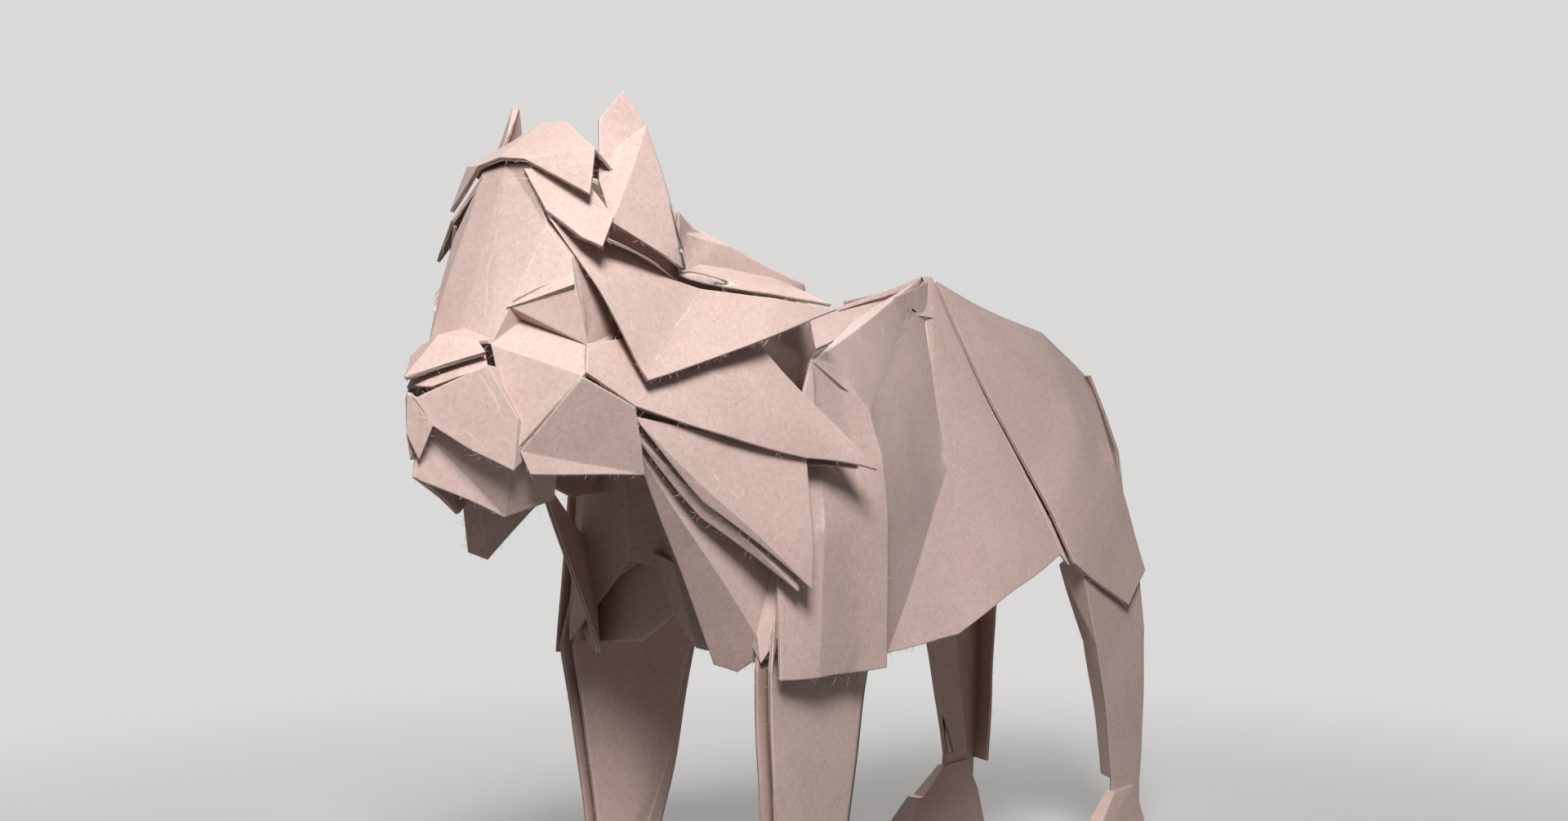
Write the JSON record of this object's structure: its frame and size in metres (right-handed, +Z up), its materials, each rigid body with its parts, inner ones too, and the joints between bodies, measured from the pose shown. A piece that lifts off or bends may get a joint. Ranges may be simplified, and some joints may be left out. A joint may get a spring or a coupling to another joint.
{
  "type": "origami lion",
  "caption": "Standing lion folded from one sheet of kraft paper, with fanned mane flaps, open folded legs and a tent-shaped body.",
  "frame": {"origin": "middle of the bounding box, on the surface under the soles", "axes": "+Z up, -Y the way the lion looks, +X its left side"},
  "size_m": [0.0464, 0.1545, 0.1121],
  "materials": {
    "kraft_paper": "matte"
  },
  "bodies": {
    "root": {"lion": "kraft_paper"}
  },
  "joints": []
}
